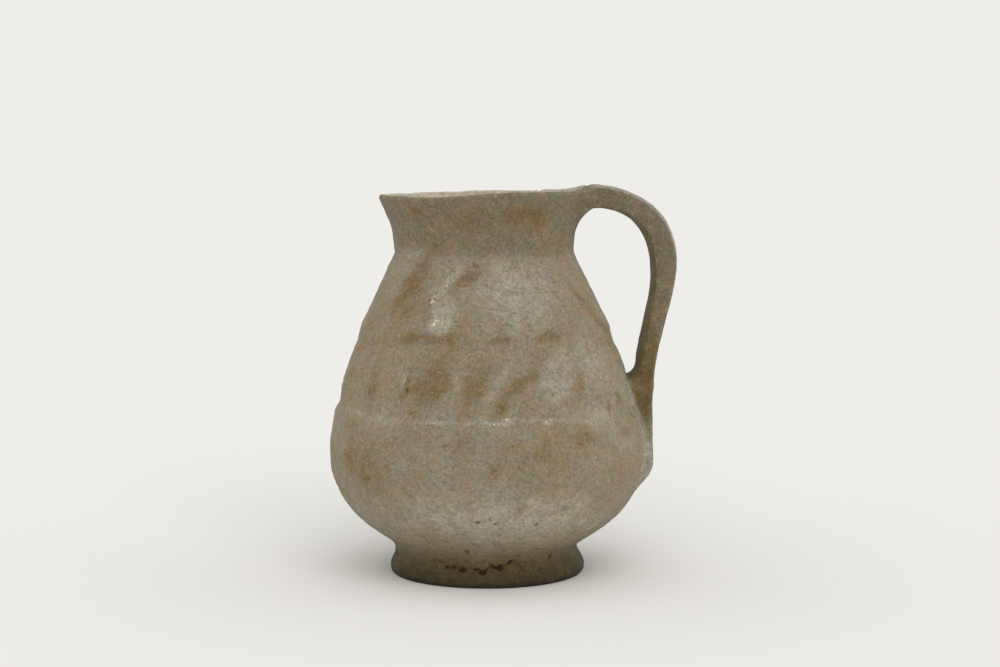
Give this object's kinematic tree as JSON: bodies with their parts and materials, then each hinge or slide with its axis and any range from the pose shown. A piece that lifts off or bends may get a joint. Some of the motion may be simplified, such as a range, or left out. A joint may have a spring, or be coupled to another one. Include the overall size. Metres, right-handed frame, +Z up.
{
  "type": "jug",
  "caption": "Fired clay jug with a ring foot, round belly, grooved band, cone shoulder, flaring neck and one strap handle from rim to belly, for holding and pouring liquid.",
  "frame": {"origin": "on the resting plane under the foot, at the middle of the jug's overall width and depth, handle included", "axes": "+Z up, +X from the body towards the handle, +Y away from a viewer who sees the handle on the right"},
  "size_m": [0.154, 0.1408, 0.1737],
  "materials": {
    "foot_clay": "matte",
    "body_clay": "matte",
    "neck_clay": "matte",
    "handle_clay": "matte"
  },
  "bodies": {
    "root": {"foot_ring": "foot_clay", "lower_body": "body_clay", "middle_body": "body_clay", "shoulder": "body_clay", "neck": "neck_clay", "handle_strap": "handle_clay", "handle_root_coil": "handle_clay", "handle_lower_pad": "handle_clay"}
  },
  "joints": []
}
